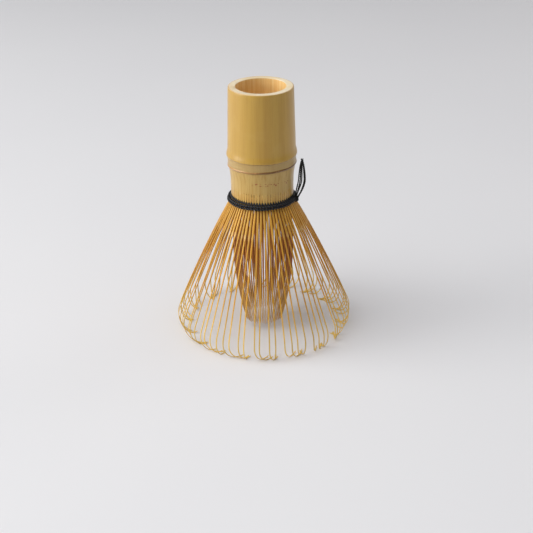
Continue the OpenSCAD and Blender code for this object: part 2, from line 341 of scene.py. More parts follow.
def with_node_marks(n, colour, point, cloudy):
    """Adds the bare band of the node, a dark line under its lip and the scar of the sheath. The line under
    the lip, the scar's darker colour and a band under the scar are painted shade, on the right, the side away
    from the light, in patches.
    """
    drop, scar_drop, turn = n.attribute("node_drop"), n.attribute("scar_drop"), n.attribute("away_from_light")
    band = n.times(n.span(drop, 0.2, 0.6), n.span(scar_drop, 4.1, 3.6))
    colour = n.mix(n.times(band, 0.7), colour, n.mix(cloudy, rgb(190, 162, 104), rgb(166, 132, 74)))
    # Painted shade on the side away from the light, broken into patches by noise
    shaded_side = n.span(turn, -0.1, 0.75, 0.25, 1.0)
    patchy = n.span(n.noise(n.scaled(point, (1.0, 1.0, 0.6)), 700.0, 3.0), 0.22, 0.5)
    shaded_patches = n.times(shaded_side, patchy)
    # Painted shade under the lip, on the shaded side only
    lip_shade = n.times(n.band(drop, 0.3, 0.07, 0.14), shaded_patches)
    colour = n.mix(n.times(lip_shade, 0.8), colour, rgb(104, 66, 38))
    # The scar's own brown where light falls on it, painted darker where it lies in shade
    scar_colour = n.mix(shaded_patches, rgb(202, 146, 84), rgb(96, 54, 28))
    colour = n.mix(n.times(n.band(scar_drop, SCAR_UNDER_LIP, 0.2, 0.28), 0.85), colour, scar_colour)
    # A painted shade band under the scar's ridge, on the shaded side
    under_scar_shade = n.band(scar_drop, SCAR_UNDER_LIP + 0.55, 0.12, 0.2)
    return n.mix(n.times(under_scar_shade, n.times(shaded_side, 0.6)), colour, rgb(112, 74, 40))


def with_specks(n, colour, point, x_mm, y, z_mm):
    """Adds a row of small rust-coloured specks, on the right of the front."""
    spots = n.add("TexVoronoi", Vector=point, Scale=1050.0)
    small = n.span(spots.outputs["Distance"], 0.3, 0.5, 1.0, 0.0)
    some = n.span(n.parts(spots.outputs["Color"])[0], 0.2, 0.3)
    row_z = n.math("ADD", z_mm, n.times(x_mm, 0.05))
    row = n.times(n.band(row_z, BIND_Z + 9.6, 0.4, 0.3), n.band(x_mm, 3.6, 6.8, 1.2))
    front = n.span(y, -0.004, -0.006)
    specks = n.times(n.times(small, some), n.times(row, front))
    return n.mix(n.times(specks, 0.85), colour, rgb(156, 64, 18))


def cut_colour(n, point, cloudy):
    """The cut rim: cream, with the skin's brown edge and dots of fibre."""
    fibre = n.add("TexVoronoi", Vector=n.scaled(point, (1.0, 1.0, 0.15)), Scale=2400.0)
    dots = n.span(fibre.outputs["Distance"], 0.12, 0.3, 1.0, 0.0)
    out = n.attribute("rim_share")
    cream = n.mix(n.span(cloudy, 0.4, 0.65), rgb(242, 228, 198), rgb(234, 212, 170))
    cream = n.mix(n.times(dots, n.span(out, 0.2, 0.95, 0.12, 0.5)), cream, rgb(204, 160, 96))
    return n.mix(n.span(out, 0.88, 1.0), cream, rgb(200, 144, 70))


def culm_material():
    """Dried bamboo: a smooth golden skin, a pale cut rim, and a streaked bore."""
    n = Nodes("bamboo_culm")
    point = n.object_point()
    x, y, z = n.parts(point)
    x_mm, z_mm = n.times(x, 1 / MM), n.times(z, 1 / MM)
    streaks = n.noise(n.scaled(point, (1.0, 1.0, 0.022)), 1500.0, 4.0, 0.6)
    broad = n.noise(n.scaled(point, (1.0, 1.0, 0.05)), 260.0, 2.0)
    cloudy = n.noise(point, 90.0, 3.0)
    fine = n.noise(n.scaled(point, (1.0, 1.0, 0.03)), 5200.0, 3.0, 0.6)

    colour = skin_colour(n, z_mm, streaks, broad, cloudy)
    colour = with_node_marks(n, colour, point, cloudy)
    colour = with_specks(n, colour, point, x_mm, y, z_mm)
    colour = n.mix(n.attribute("cut"), colour, cut_colour(n, point, cloudy))
    inside = n.mix(n.span(streaks, 0.3, 0.75), rgb(246, 212, 146), rgb(232, 184, 106))
    inside = n.mix(n.times(n.span(broad, 0.45, 0.7), 0.4), inside, rgb(250, 226, 172))
    colour = n.mix(n.attribute("bore"), colour, inside)
    colour = n.mix(n.attribute("split"), colour, n.mix(streaks, rgb(214, 156, 70), rgb(178, 112, 42)))

    skin_rough = n.mix(streaks, (0.34, 0.34, 0.34, 1.0), (0.46, 0.46, 0.46, 1.0))
    rough = n.mix(n.attribute("skin"), (0.72, 0.72, 0.72, 1.0), skin_rough)
    normal = n.bump(streaks, 0.35, 0.05)
    normal = n.bump(fine, 0.25, 0.02, normal)
    return n.finish(Base_Color=colour, Roughness=n.parts(rough)[0], Normal=normal,
                    Specular_IOR_Level=0.42, Coat_Weight=0.45, Coat_Roughness=0.34)


def tine_material(name, root, middle, tip, flank, knee=None, roughness=0.44):
    """Split bamboo: the colour runs from the root to the tip, and the flanks are darker than the faces."""
    n = Nodes(name)
    along, tone, side = n.attribute("along"), n.attribute("tone"), n.attribute("flank")
    grain_point = n.attribute("grain", vector=True)
    grain = n.noise(grain_point, 9.0, 4.0, 0.6)
    slow = n.noise(grain_point, 1.1, 2.0)
    colour = n.mix(n.span(along, 0.08, 0.34), root, middle)
    colour = n.mix(n.span(along, 0.5, 0.9), colour, tip)
    colour = n.mix(n.times(side, n.span(along, 0.4, 0.85, 0.8, 0.3)), colour, flank)
    colour = n.mix(n.times(n.span(grain, 0.45, 0.8), 0.35), colour, flank)
    colour = n.mix(n.times(n.span(slow, 0.5, 0.75), 0.35), colour, tip)
    # Pale at the knee: the paler cut, with a painted highlight on it
    if knee:
        cut = n.attribute("knee")
        colour = n.mix(n.times(cut, 0.5), colour, knee)
    shade = n.add("HueSaturation", Value=n.span(tone, 0.0, 1.0, 0.86, 1.1), Color=colour)
    normal = n.bump(grain, 0.5, 0.03)
    return n.finish(Base_Color=shade.outputs["Color"], Roughness=roughness, Normal=normal,
                    Specular_IOR_Level=0.32)


def thread_material(name, dark, light, roughness, sheen):
    """Waxed thread, near black, with fine fibres that follow the twist."""
    n = Nodes(name)
    grain_point = n.attribute("grain", vector=True)
    fibres = n.noise(grain_point, 14.0, 3.0, 0.6)
    worn = n.noise(n.object_point(), 420.0, 2.0)
    colour = n.mix(n.span(fibres, 0.4, 0.75), dark, light)
    colour = n.mix(n.times(n.span(worn, 0.5, 0.8), 0.4), colour, light)
    normal = n.bump(fibres, 0.8, 0.04)
    return n.finish(Base_Color=colour, Roughness=roughness, Normal=normal, Sheen_Weight=sheen,
                    Sheen_Roughness=0.4, Specular_IOR_Level=0.5)


CULM = culm_material()
OUTER_BAMBOO = tine_material("bamboo_outer_tines", rgb(208, 158, 63), rgb(212, 158, 54), rgb(237, 204, 106),
                             rgb(190, 119, 30), knee=rgb(242, 218, 164))
# The inner tines: orange inner tissue, painted a darker brown as the shade inside the whisk
INNER_BAMBOO_SHADED = tine_material("bamboo_inner_tines_painted_shade", rgb(160, 88, 26), rgb(178, 108, 38), rgb(216, 170, 94),
                             rgb(116, 54, 12), roughness=0.55)
THREAD = thread_material("thread_black", rgb(9, 10, 14), rgb(24, 27, 35), 0.6, 0.03)
TAIL_THREAD = thread_material("thread_black_glossy", rgb(6, 7, 9), rgb(15, 16, 21), 0.55, 0.0)

# --- Culm ---

# Points across each root. The slits part the roots, so each root has its own columns.
ACROSS = 7
# Rings round the bend, which are square to the roots' curve
BEND_ROWS = 5
# Heights of the level rings from the bend up past the last slit
ROOT_HEIGHTS = np.arange(SLIT_NARROWS_Z, SLIT_TOP_Z + 1.3, 0.2)


def culm_wave(angle):
    """How far the node's lip runs up and down round the culm."""
    tilt = 0.16 * np.cos(angle) + 0.12 * np.sin(angle)
    return tilt + 0.06 * np.sin(3 * angle + 2.0) + 0.03 * np.sin(7 * angle)


def scar_wave(angle):
    """How far the scar runs nearer to the lip than on average: nearest at the front."""
    tilt = 0.25 * np.cos(angle) - 0.5 * np.sin(angle)
    return tilt + 0.08 * np.sin(5 * angle + 1.0) + 0.05 * np.sin(11 * angle)


def node_drop(z, angle):
    """Distance below the lip of the node, following its wave."""
    return RIM_Z - z - SWELLING_DROP + culm_wave(angle)


def culm_r(z, angle):
    """Radius of the culm's outside."""
    d = RIM_Z - z
    n = node_drop(z, angle)
    upper = RIM_R + TAPER * d / SWELLING_DROP + SWELLING_H * bell(n, 1.6)
    lower = WAIST_R + WAIST_FLARE * bell(d - WAIST_FLARE_DROP, 4.5)
    lip = ease((n - 0.15) / 0.45)
    groove = GROOVE_H * bell(n - 0.8, 0.4)
    from_scar = n + scar_wave(angle) - SCAR_UNDER_LIP
    scar = SCAR_H * bell(from_scar - 0.05, 0.33) + 0.14 * bell(from_scar + 0.9, 0.9)
    # A quick step at the lip and a slow one under it lead from the upper surface to the lower one
    blend = 0.35 * lip + 0.65 * ease((n - 0.5) / 2.5)
    flat = 0.05 * np.sin(2 * angle + 0.6)
    return upper * (1 - blend) + lower * blend + groove * lip + scar + flat * ease((z - SLIT_TOP_Z) / 8)


def slit_top(n):
    """Height at which slit n ends."""
    return SLIT_TOP_Z + scatter(n % TINES)


def slit_half(n, z):
    """Half the width of slit n at height z."""
    top = slit_top(n)
    share = np.clip((top - z) / (top - SLIT_NARROWS_Z), 0, 1)
    return SLIT_W / 2 * share


def slit_shade_mark(z):
    """For every root's points, 1 beside a slit, fading above the slit's top: where the skin gets a painted
    shade line.
    """
    spread = np.linspace(-1, 1, ACROSS)
    tops = np.array([slit_top(n) for n in range(TINES + 1)])
    fade = 1 - ease((z - tops + 1.2) / 4.2)
    return np.where(spread < 0, fade[:-1, None], fade[1:, None]) * abs(spread) ** 3


def root_angles(z):
    """The angles of every root's points at height z, with the slits left out."""
    spread = np.linspace(-1, 1, ACROSS)
    rows = []
    for n in range(TINES):
        left = math.degrees(slit_half(n, z) / SKIRT_R)
        right = math.degrees(slit_half(n + 1, z) / SKIRT_R)
        low, high = n * PITCH + left, (n + 1) * PITCH - right
        rows.append((low + high) / 2 + spread * (high - low) / 2)
    return np.radians(np.array(rows))


def ring_points(r, angles, z):
    """Points at radius r, the angles and height z. The radius and the height may vary with the angle."""
    r, z = np.broadcast_to(r, angles.shape), np.broadcast_to(z, angles.shape)
    return np.stack([r * np.cos(angles), r * np.sin(angles), z], -1)


class Skin:
    """Collects rings of points, one set for each root, and the faces between them."""

    def __init__(self):
        self.points, self.faces, self.marks = [], [], []

    def ring(self, points, **marks):
        """Adds a ring with its marks, and returns the numbers of its points, root by root."""
        start = sum(len(p) for p in self.points)
        self.points.append(points.reshape(-1, 3))
        values = {k: np.broadcast_to(v, points.shape[:2]).reshape(-1) for k, v in marks.items()}
        self.marks.append((len(self.points[-1]), values))
        return start + np.arange(TINES * ACROSS).reshape(TINES, ACROSS)

    def strip(self, a, b):
        """Faces between two rings, root by root."""
        quads = np.stack([a[:, :-1], a[:, 1:], b[:, 1:], b[:, :-1]], -1).reshape(-1, 4)
        self.faces += quads.tolist()

    def bridge(self, a, b):
        """Faces between two rings across the slits, from each root's right edge to the next root's left."""
        a_next, b_next = np.roll(a, -1, 0), np.roll(b, -1, 0)
        quads = np.stack([a[:, -1], a_next[:, 0], b_next[:, 0], b[:, -1]], -1)
        self.faces += quads.tolist()

    def walls(self, outer_a, outer_b, inner_a, inner_b):
        """The slits' side walls."""
        for k in (0, ACROSS - 1):
            quads = np.stack([outer_a[:, k], outer_b[:, k], inner_b[:, k], inner_a[:, k]], -1)
            self.faces += quads.tolist()

    def value(self, name):
        """A mark's value at every point, 0 where the ring doesn't have it."""
        return np.concatenate([v.get(name, np.zeros(count)) for count, v in self.marks])


def root_rings(s):
    """The rings of the slit roots, outside and inside, from the roots' ends up past the last slit."""
    outer, inner = [], []
    half = TINE_T / 2
    crown = 0.05 * (1 - np.linspace(-1, 1, ACROSS) ** 2) - 0.05
    angles = root_angles(BEND_Z)
    for lean in np.linspace(ROOT_END_LEAN, 0, BEND_ROWS):
        a = math.radians(lean)
        middle_r, middle_z = SKIRT_R + BEND_R * (1 - math.cos(a)), BEND_Z - BEND_R * math.sin(a)
        across, up = half * math.cos(a), half * math.sin(a)
        outer.append(s.ring(ring_points(middle_r + across + crown, angles, middle_z + up), skin=1.0))
        inner.append(s.ring(ring_points(middle_r - across, angles, middle_z - up), split=1.0))
    for z in ROOT_HEIGHTS:
        angles = root_angles(z)
        radius = culm_r(z, angles) + crown * ease((SLIT_TOP_Z - z) / 2)
        outer.append(s.ring(ring_points(radius, angles, z), skin=1.0, slit=slit_shade_mark(z)))
        inner.append(s.ring(ring_points(SKIRT_R - half, angles, z), split=1.0))
    return outer, inner


def join_roots(s, outer, inner, wall_row):
    """Faces of the roots, their ends and the slits' sides. From the wall up, the slits are closed inside."""
    s.strip(outer[0], inner[0])
    for i in range(len(outer) - 1):
        s.strip(outer[i], outer[i + 1])
        s.walls(outer[i], outer[i + 1], inner[i], inner[i + 1])
        if i < wall_row:
            s.strip(inner[i], inner[i + 1])
        else:
            s.bridge(inner[i], inner[i + 1])


def lower_hollow(s, last, angles):
    """The hollow above the roots, up to the diaphragm that closes it."""
    ceiling = RIM_Z - BORE_DEPTH - DIAPHRAGM_T
    wobble = 0.12 * np.sin(4 * angles) + 0.07 * np.sin(9 * angles + 1)
    rings = [
        (LOW_HOLLOW_R, WALL_Z),
        (LOW_HOLLOW_R, WALL_Z + 4),
        (LOW_HOLLOW_R + wobble, ceiling - 3),
        (LOW_HOLLOW_R - 0.1 + wobble, ceiling - 1),
        (LOW_HOLLOW_R - 0.5 + wobble, ceiling - 0.25),
        (LOW_HOLLOW_R - 1.3 + wobble, ceiling),
        (5, ceiling + 0.25),
        (0, ceiling + 0.35),
    ]
    for r, z in rings:
        ring = s.ring(ring_points(r, angles, z), bore=1.0)
        s.strip(last, ring)
        s.bridge(last, ring)
        last = ring


def outside(s, last, angles):
    """The skin above the slits, with close rings over the node."""
    node_low, node_high = RIM_Z - SWELLING_DROP - 6.9, RIM_Z - SWELLING_DROP + 2.5
    heights = np.concatenate([
        np.linspace(ROOT_HEIGHTS[-1] + 0.5, node_low, 8),
        np.arange(node_low + 0.12, node_high, 0.12),
        np.linspace(node_high + 0.4, RIM_Z - 1, 22),
    ])
    for z in heights:
        ring = s.ring(ring_points(culm_r(z, angles), angles, z), skin=1.0, slit=slit_shade_mark(z))
        s.strip(last, ring)
        last = ring
    return last


def rim_and_bore(s, last, angles):
    """The cut rim, with its saw marks, the bore and the rough upper face of the diaphragm."""
    edge = RIM_R + 0.02 * np.sin(5 * angles)
    rim = RIM_Z + 0.03 * np.sin(angles * 2 + 1) + 0.02 * np.sin(angles * 7)
    floor_z = RIM_Z - BORE_DEPTH
    rough = 0.10 * np.sin(3 * angles + 0.4) + 0.05 * np.sin(13 * angles)
    rings = [
        (edge, RIM_Z - 0.42, dict(skin=1.0)),
        (edge - 0.06, RIM_Z - 0.2, dict(skin=1.0)),
        (edge - 0.22, RIM_Z - 0.06, dict(cut=1.0, rim_share=1.0)),
        (edge - 0.4, rim - 0.04, dict(cut=1.0, rim_share=0.93)),
        (edge - 0.6, rim - 0.05, dict(cut=1.0, rim_share=0.82)),
        (edge - 1.4, rim - 0.06, dict(cut=1.0, rim_share=0.5)),
        (BORE_R + 0.14, rim - 0.06, dict(cut=1.0, rim_share=0.1)),
        (BORE_R + 0.05, RIM_Z - 0.12, dict(cut=1.0)),
        (BORE_R + 0.01, RIM_Z - 0.24, dict(bore=1.0)),
        (BORE_R + 0.01, RIM_Z - 4, dict(bore=1.0)),
        (BORE_R, RIM_Z - 9, dict(bore=1.0)),
        (BORE_R, RIM_Z - 16, dict(bore=1.0)),
        (BORE_R, floor_z + 2.2, dict(bore=1.0)),
        (BORE_R - 0.15, floor_z + 0.9, dict(bore=1.0)),
        (BORE_R - 0.7, floor_z + 0.2, dict(bore=1.0)),
        (BORE_R - 2.2, floor_z + rough * 0.5, dict(bore=1.0)),
        (5.0, floor_z - 0.15 + rough, dict(bore=1.0)),
        (2.0, floor_z - 0.3 + rough * 0.4, dict(bore=1.0)),
        (0.0, floor_z - 0.35, dict(bore=1.0)),
    ]
    for r, z, marks in rings:
        ring = s.ring(ring_points(r, angles, z), **marks)
        s.strip(last, ring)
        last = ring


def culm():
    """The culm from its cut rim down to the ends of the tine roots, with its bore, diaphragm and slits."""
    s = Skin()
    outer, inner = root_rings(s)
    first_wall = int(np.argmin(abs(ROOT_HEIGHTS - WALL_Z)))
    wall_row = BEND_ROWS + first_wall
    join_roots(s, outer, inner, wall_row)
    lower_hollow(s, inner[wall_row], root_angles(ROOT_HEIGHTS[first_wall]))
    whole_round = np.radians((np.arange(TINES)[:, None] + np.linspace(0, 1, ACROSS)) * PITCH)
    rim_and_bore(s, outside(s, outer[-1], whole_round), whole_round)

    points = np.concatenate(s.points)
    piece = mesh_piece("culm", points, s.faces, CULM)
    turn = np.arctan2(points[:, 1], points[:, 0])
    drop = node_drop(points[:, 2], turn)
    for name in ("skin", "cut", "bore", "split", "rim_share", "slit"):
        paint(piece, name, s.value(name))
    paint(piece, "node_drop", drop)
    paint(piece, "scar_drop", drop + scar_wave(turn))
    # How far each point faces right, away from the light; the node's marks get painted shade there
    paint(piece, "away_from_light", np.cos(turn + math.radians(35)))
    merge_points(piece, 42)
    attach(piece, "root")
    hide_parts("handle")


# --- Tines ---

SECTION_SIDES = 12
SECTION_ANGLES = np.linspace(0, 2 * math.pi, SECTION_SIDES, endpoint=False) + math.pi / SECTION_SIDES
# 2 gives a round section, and more gives a squarer one
SECTION_POWER = 3.4


def boxy(values):
    """Turns the cosines or the sines of a circle into those of a rectangle with rounded corners."""
    return np.sign(values) * abs(values) ** (2 / SECTION_POWER)


SECTION_ACROSS, SECTION_OUT = boxy(np.cos(SECTION_ANGLES)), boxy(np.sin(SECTION_ANGLES))


def tine(path, width, thick):
    """Points of one tine. The path has X outwards and Y across; the section stays square to it."""
    t = headings(path)
    side = np.array([0, 1.0, 0]) - t[:, 1:2] * t
    side /= np.linalg.norm(side, axis=1)[:, None]
    out = np.cross(side, t)
    flip = np.sign(out[0, 0])
    across, height = width[:, None] / 2 * SECTION_ACROSS, thick[:, None] / 2 * SECTION_OUT
    return swept(path, side, out * flip, across, height)


def curl_line(leans, radii):
    """Points of a line that turns through the leans, with a radius for each step, from the origin."""
    leans = np.radians(leans)
    middle = (leans[1:] + leans[:-1]) / 2
    step = np.asarray(radii) * abs(np.diff(leans))
    x = np.concatenate([[0], np.cumsum(step * np.sin(middle))])
    z = np.concatenate([[0], np.cumsum(-step * np.cos(middle))])
    return np.stack([x, z], -1)


# Leans of a tine, in degrees outwards from straight down, round its bulge and then round its hook
BULGE_LEAN = 22.5
BULGE_R = 9
CURL_LEANS = np.concatenate([np.linspace(BULGE_LEAN, -24, 12), np.linspace(-31, -122, 16)])


def curl_radii(hook_r):
    """Radii that shrink from the bulge's to the hook's."""
    middle = (CURL_LEANS[1:] + CURL_LEANS[:-1]) / 2
    return BULGE_R + (hook_r - BULGE_R) * ease((-middle - 8) / 40)


def joined_arc(start, end, end_lean, steps):
    """An arc from start to end, both [r, z], that arrives with end_lean."""
    chord = math.degrees(math.atan2(end[0] - start[0], start[1] - end[1]))
    first_lean = 2 * chord - end_lean
    leans = np.linspace(first_lean, end_lean, steps)
    line = curl_line(leans, np.ones(steps - 1))
    scale = math.dist(start, end) / math.dist(line[0], line[-1])
    return np.asarray(start) + line * scale


def tine_out(n):
    """How far tine n stays inside the head's radius, as a negative number. Four tines reach it."""
    return 0 if n % 18 == 0 else -0.45 + 0.45 * scatter(3 * n + 1)


def tine_tilt(n):
    """How far tine n leans to its side, in degrees. Edge tines lean towards the middle of their sector."""
    place = n % OUTER_PER_SECTOR
    if place == 0:
        return 0.45 + 0.45 * scatter(5 * n + 2)
    if place == OUTER_PER_SECTOR - 1:
        return -0.45 - 0.45 * scatter(5 * n + 2)
    return 0.7 * scatter(5 * n + 2)


def hook_turn(n):
    """How far the hook's plane is turned to the side, in degrees. Edge tines stay in their sector."""
    place = n % OUTER_PER_SECTOR
    share = 0.5 + 0.5 * scatter(17 * n + 5)
    backwards = scatter(29 * n + 3) > 0.55
    if place == OUTER_PER_SECTOR - 1:
        return -24 * share - 4 if backwards else 4 + 8 * share
    if place == OUTER_PER_SECTOR - 2:
        return 20 + 18 * share
    return 36 + 18 * share


# Radius of the hook, and how far it differs from tine to tine
HOOK_R = 3.0
HOOK_SPREAD = 0.6
# Distance below the binding at which a tine is cut narrower, its width there, and how much it narrows from
# there to its tip
KNEE_DROP = 10.6
KNEE_W = 0.66
NARROWING = 0.2
# How much thinner a tine gets on its upper half, and its thickness at the tip
THINNING = 0.16
TIP_T = 0.24
# Points of the path from the root to the bulge
LONG_STEPS = 34


def outer_tine(n):
    """Path, width, thickness and distance along of outer tine n, before it is turned to its place."""
    curl = curl_line(CURL_LEANS, curl_radii(HOOK_R + HOOK_SPREAD * scatter(23 * n + 7)))
    widest = SPREAD_R - TIP_T / 2 + tine_out(n)
    bulge_top = np.array([widest - curl[:, 0].max(), TIP_T / 2 + 0.02 - curl[:, 1].min()])
    root_leans = np.linspace(ROOT_END_LEAN, ROOT_LEAN, 5)
    a = np.radians(root_leans)
    root = np.stack([SKIRT_R + BEND_R * (1 - np.cos(a)), BEND_Z - BEND_R * np.sin(a)], -1)
    long = joined_arc(root[-1], bulge_top, BULGE_LEAN, LONG_STEPS)
    line = np.concatenate([root, long[1:], (bulge_top + curl)[1:]])
    step = np.linalg.norm(np.diff(line, axis=0), axis=1)
    s = np.concatenate([[0], np.cumsum(step)])

    drop = BIND_Z - line[:, 1]
    below = ease((drop - KNEE_DROP - 0.2 * scatter(n + 40)) / 1.1)
    to_tip = np.clip((s - s[LONG_STEPS // 3]) / (s[-1] - s[LONG_STEPS // 3]), 0, 1)
    stray = 0.02 * np.sin(s * 0.9 + n) + 0.015 * np.sin(s * 2.3 + 2 * n)
    upper_w = ROOT_W + 0.07 * bell(drop - 7, 4)
    lower_w = KNEE_W - NARROWING * to_tip
    width = upper_w * (1 - below) + lower_w * below + stray * ease(drop / 6)
    thick = TINE_T - THINNING * ease(drop / 30) - (TINE_T - THINNING - TIP_T) * to_tip
    thick = thick + 0.06 * bell(drop - KNEE_DROP, 0.6) + 0.4 * stray * ease(drop / 6)
    # The last sections round off the tip
    width[-3:] *= (0.94, 0.8, 0.5)
    thick[-3:] *= (0.95, 0.85, 0.6)

    # Sideways: the lean of the tine from its root, a slight stray, and the turned plane of the hook
    tilt = math.tan(math.radians(tine_tilt(n)))
    side = tilt * (OUTER_HINGE_Z - line[:, 1]).clip(0)
    side = side + 0.22 * scatter(31 * n) * np.sin(math.pi * (drop / BIND_Z).clip(0, 1))
    inward = np.zeros(len(line))
    top = int(np.argmax(line[:, 0]))
    inward[top:] = line[top, 0] - line[top:, 0]
    side = side + inward * math.tan(math.radians(hook_turn(n)))
    path = np.stack([line[:, 0], side, line[:, 1]], -1)
    return path, width, thick, s


def tine_group(name, tines, material, knees):
    """One mesh of several tines. Each tine is (turn in degrees, tone, path, width, thickness, distances).

    The last argument says how clearly the pale marks at the knees show, from 0 to 1: the paler cut, with a
    painted highlight on it.
    """
    points, faces, grain = [], [], []
    marks = {"along": [], "tone": [], "flank": [], "knee": []}
    for index, (turn, tone, path, width, thick, s) in enumerate(tines):
        faces += tube_faces(len(path), SECTION_SIDES, sum(len(p) for p in points))
        points.append(turned(tine(path, width, thick), turn))
        count = len(path)
        # A pale mark at each knee, the paler cut with a painted highlight on it, shifted and fainter or
        # clearer tine by tine
        knee_shift = 0.25 + 0.5 * scatter(37 * index + turn)
        knee_share = knees * (0.2 + 0.8 * abs(scatter(53 * index + turn)))
        knee = knee_share * bell(BIND_Z - path[:, 2] - KNEE_DROP - knee_shift, 0.26)
        marks["along"].append(np.repeat(s / s[-1], SECTION_SIDES))
        marks["tone"].append(np.full(count * SECTION_SIDES, tone))
        marks["flank"].append(np.tile(ease((abs(SECTION_ACROSS) - 0.62) / 0.36), count))
        marks["knee"].append(np.repeat(knee, SECTION_SIDES))
        across = width[:, None] * SECTION_ACROSS
        out = thick[:, None] * SECTION_OUT
        run = np.repeat(s[:, None], SECTION_SIDES, 1) * 0.07
        grain.append(np.stack([across, out, run + 7.3 * index + 3.1 * turn], -1).reshape(-1, 3))
    piece = mesh_piece(name, np.concatenate(points), faces, material)
    for key, values in marks.items():
        paint(piece, key, np.concatenate(values))
    paint(piece, "grain", np.concatenate(grain))
    return piece


def bend_at(piece):
    """Moves the piece's placement into its points."""
    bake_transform(piece)


def outer_tines():
    """One piece for each sector of outer tines."""
    for sector in range(OUTER_SECTORS):
        tines = []
        for n in range(sector * OUTER_PER_SECTOR, (sector + 1) * OUTER_PER_SECTOR):
            tines.append(((n + 0.5) * PITCH, 0.5 + 0.5 * scatter(41 * n + 9), *outer_tine(n)))
        piece = tine_group(f"outer_tines_group_{sector + 1:02d}", tines, OUTER_BAMBOO, 1.0)
        bend_at(piece)
        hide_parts(f"outer_tines_{sector + 1:02d}")


# Radius of the inner tines where they leave the culm, at their belly, and at their tips
INNER_R = 10.61
BELLY_R = 12
BUNDLE_R = 7.4
# Distance from the binding down to the belly
BELLY_DROP = 20.6
# Width and thickness of an inner tine at its root, and how much smaller its tip is
INNER_W, INNER_NARROWING = 0.9, 0.62
INNER_T, INNER_THINNING = 0.36, 0.08


def inner_tine(n):
    """Path, width, thickness and distance along of inner tine n."""
    top = [INNER_R, WALL_Z + 0.3]
    belly = [BELLY_R + 0.15 * scatter(9 * n + 4), BIND_Z - BELLY_DROP]
    tip = [BUNDLE_R + 0.12 * scatter(7 * n + 3), INNER_TIP_Z + 0.9 * abs(scatter(11 * n))]
    upper = joined_arc(top, belly, 0, 16)
    chord = math.degrees(math.atan2(tip[0] - belly[0], belly[1] - tip[1]))
    lower = joined_arc(belly, tip, 2 * chord, 22)
    line = np.concatenate([upper, lower[1:]])
    s = np.concatenate([[0], np.cumsum(np.linalg.norm(np.diff(line, axis=0), axis=1))])
    share = s / s[-1]
    stray = 0.02 * np.sin(s * 0.8 + 3 * n) + 0.015 * np.sin(s * 2.1 + n)
    width = INNER_W - INNER_NARROWING * share ** 1.1 + stray
    thick = INNER_T - INNER_THINNING * share + stray
    width[-2:] *= (0.9, 0.6)
    thick[-2:] *= (0.9, 0.6)
    side = 0.1 * scatter(13 * n + 6) * np.sin(math.pi * share) + 0.12 * scatter(19 * n) * share ** 2
    path = np.stack([line[:, 0], side, line[:, 1]], -1)
    return path, width, thick, s


def inner_tines():
    """One piece for each sector of inner tines."""
    for sector in range(INNER_SECTORS):
        tines = []
        for n in range(sector * INNER_PER_SECTOR, (sector + 1) * INNER_PER_SECTOR):
            tines.append((n * PITCH, 0.5 + 0.5 * scatter(43 * n + 2), *inner_tine(n)))
        piece = tine_group(f"inner_tines_group_{sector + 1:02d}", tines, INNER_BAMBOO_SHADED, 0.0)
        bend_at(piece)
        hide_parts(f"inner_tines_{sector + 1:02d}")


# --- Thread ---

# Points round a thread
PLY_SIDES = 15


def lobed(diameter, plies, twist, s):
    """Across and height values of a twisted thread's section, and the angles within the twist, at each s."""
    a = np.linspace(0, 2 * math.pi, PLY_SIDES, endpoint=False)
    turn = 2 * math.pi * s[:, None] / twist
    r = diameter / 2 * (0.87 + 0.13 * np.cos(plies * (a[None] - turn)))
    return r * np.cos(a), r * np.sin(a), a[None] - turn


def cord_mesh(name, paths, material, diameter, plies, twist, closed=False, taper=0):
    """One mesh of one or more twisted threads along their paths, in millimetres.

    The taper is the length over which their ends thin out.
    """
    points, faces, grain = [], [], []
    for index, path in enumerate(paths):
        side, up = round_frames(path, closed)
        s = np.concatenate([[0], np.cumsum(np.linalg.norm(np.diff(path, axis=0), axis=1))])
        across, height, lay = lobed(diameter, plies, twist, s)
        if taper:
            ends = np.clip((s[-1] - s) / taper, 0.3, 1)[:, None]
            across, height = across * ends, height * ends
        faces += tube_faces(len(path), PLY_SIDES, sum(len(p) for p in points), closed)
        points.append(swept(path, side, up, across, height))
        grain.append(np.stack([np.cos(lay) * 0.5, np.sin(lay) * 0.5,
                               np.repeat(s[:, None], PLY_SIDES, 1) * 0.25 + 5 * index], -1).reshape(-1, 3))
    piece = mesh_piece(name, np.concatenate(points), faces, material)
    paint(piece, "grain", np.concatenate(grain))
    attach(piece, "root")
    return piece


BINDING_D = 0.86
BINDING_R = node_box("thread_binding")[1][1] - BINDING_D / 2
BINDING_PITCH = 0.89
# Diameter of the thread in the weave and the knot
LOOSE_D = 0.56


def binding():
    """The thread's two outer turns, drawn tight round the roots, which press waves into it.

    The upper turn lies closer to the culm than the lower one.
    """
    steps = 1400
    a = np.linspace(0, 2, steps)
    angle = np.radians(KNOT_TURN + 360 * a)
    press = 0.15 * np.cos(angle * TINES + math.pi)
    r = BINDING_R - 0.34 * ease(a - 0.55) + press
    z = BIND_Z - BINDING_PITCH + BINDING_PITCH * a + 0.06 * np.sin(angle * 9) + 0.13 * np.sin(angle * TINES)
    path = np.stack([r * np.cos(angle), r * np.sin(angle), z], -1)
    piece = cord_mesh("binding_thread", [path], THREAD, BINDING_D, 3, 2.9)
    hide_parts("thread_binding")


def weave_path(middle_z, rise, phase, front):
    """Once round the culm, in front of one root and behind the next, rising where it dives into a slit."""
    steps = TINES * 14
    a = np.linspace(0, 2 * math.pi, steps, endpoint=False)
    wave = np.sin(a * TINES / 2 + phase)
    square = np.tanh(3 * wave) / math.tanh(3)
    back = SKIRT_R - TINE_T / 2 - 0.22
    r = (front + back) / 2 + (front - back) / 2 * square
    z = middle_z + rise * (1 - abs(wave)) ** 2
    return np.stack([r * np.cos(a), r * np.sin(a), z], -1)


